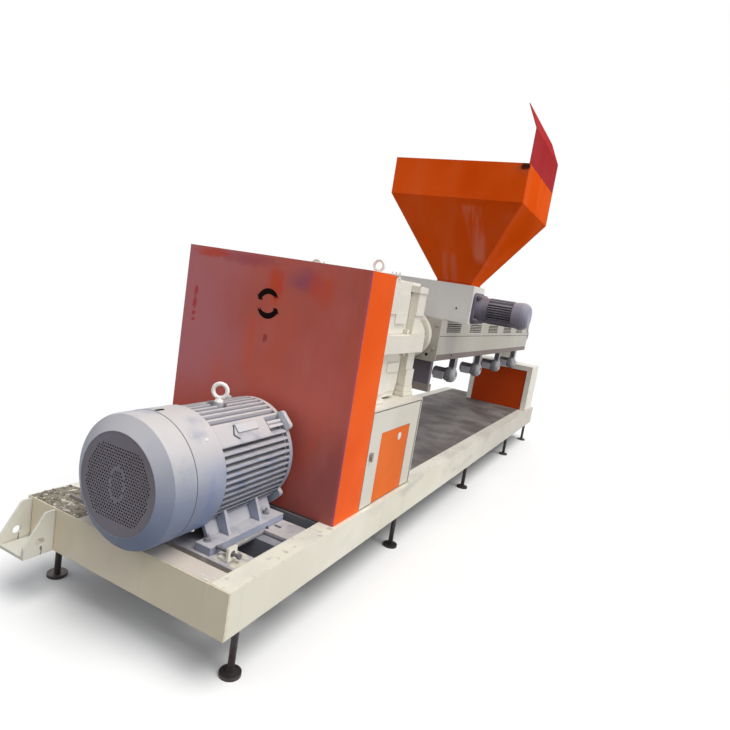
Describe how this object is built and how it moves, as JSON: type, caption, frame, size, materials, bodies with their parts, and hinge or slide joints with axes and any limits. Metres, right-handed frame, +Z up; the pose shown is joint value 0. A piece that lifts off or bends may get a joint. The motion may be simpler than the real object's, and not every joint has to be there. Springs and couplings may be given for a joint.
{
  "type": "single-screw plastic extruder",
  "caption": "Single-screw plastic extruder on a welded base: motor, belt guard, ribbed gearbox, covered barrel with blowers, hopper and feeder.",
  "frame": {"origin": "on the floor, under the middle of the machine's footprint", "axes": "+Y along the machine from the motor end to the outlet end, +X to its right seen from the motor end, +Z up"},
  "size_m": [1.477, 5.662, 2.7262],
  "materials": {
    "cream_paint": "semi-gloss paint over sheet steel and castings",
    "orange_paint": "semi-gloss paint",
    "crimson_paint": "uneven paint with orange smears",
    "motor_grey": "satin paint over cast iron",
    "dark_grille": "satin dark grey paint",
    "bare_steel": "bare and dull",
    "cast_silver": "as cast, silver paint",
    "purple_grey": "satin paint over cast iron"
  },
  "bodies": {
    "machine": {"base_side_beams": "cream_paint", "base_end_plates": "cream_paint", "base_cross_members": "cream_paint", "base_front_strip": "cream_paint", "base_deck": "cream_paint", "motor_bed": "motor_grey", "motor_jack_screw": "bare_steel", "levelling_feet": "bare_steel", "hitch_bracket": "cream_paint", "motor_frame": "motor_grey", "motor_feet": "motor_grey", "motor_fan_cowl": "motor_grey", "motor_fan_grille": "dark_grille", "motor_end_shield": "motor_grey", "motor_shaft": "bare_steel", "motor_lifting_eye": "motor_grey", "motor_terminal_box": "motor_grey", "guard_front_panel": "crimson_paint", "guard_shell": "orange_paint", "pedestal_shell": "cream_paint", "gearbox_lower_housing": "cream_paint", "gearbox_joint_flange": "cream_paint", "gearbox_upper_housing": "cream_paint", "gearbox_output_housing": "cream_paint", "gearbox_lifting_eyes": "cream_paint", "feed_throat": "purple_grey", "barrel": "bare_steel", "screw_tip": "bare_steel", "outlet_flange": "bare_steel", "barrel_saddle": "cream_paint", "cover_front_plate": "cream_paint", "cover_tray": "cream_paint", "cover_rails": "purple_grey", "cover_top": "cream_paint", "cover_rear_plate": "cream_paint", "blower_1": "cast_silver", "blower_2": "cast_silver", "blower_3": "cast_silver", "blower_4": "cast_silver", "feeder_box": "cream_paint", "feeder_motor_frame": "purple_grey", "feeder_motor_cowl": "motor_grey", "hopper_funnel": "orange_paint", "hopper_bin": "orange_paint", "hopper_splash_board": "crimson_paint", "rear_support_box": "cream_paint", "rear_support_panel": "orange_paint"},
    "door": {"pedestal_door": "cream_paint", "pedestal_door_inset": "orange_paint", "door_latch": "bare_steel"}
  },
  "joints": [
    {"name": "door_hinge", "type": "hinge", "parent": "machine", "child": "door", "pos_m": [0.3535, -1.094, 0.664], "axis": [0, 0, 1], "range_deg": [0, 90]}
  ]
}
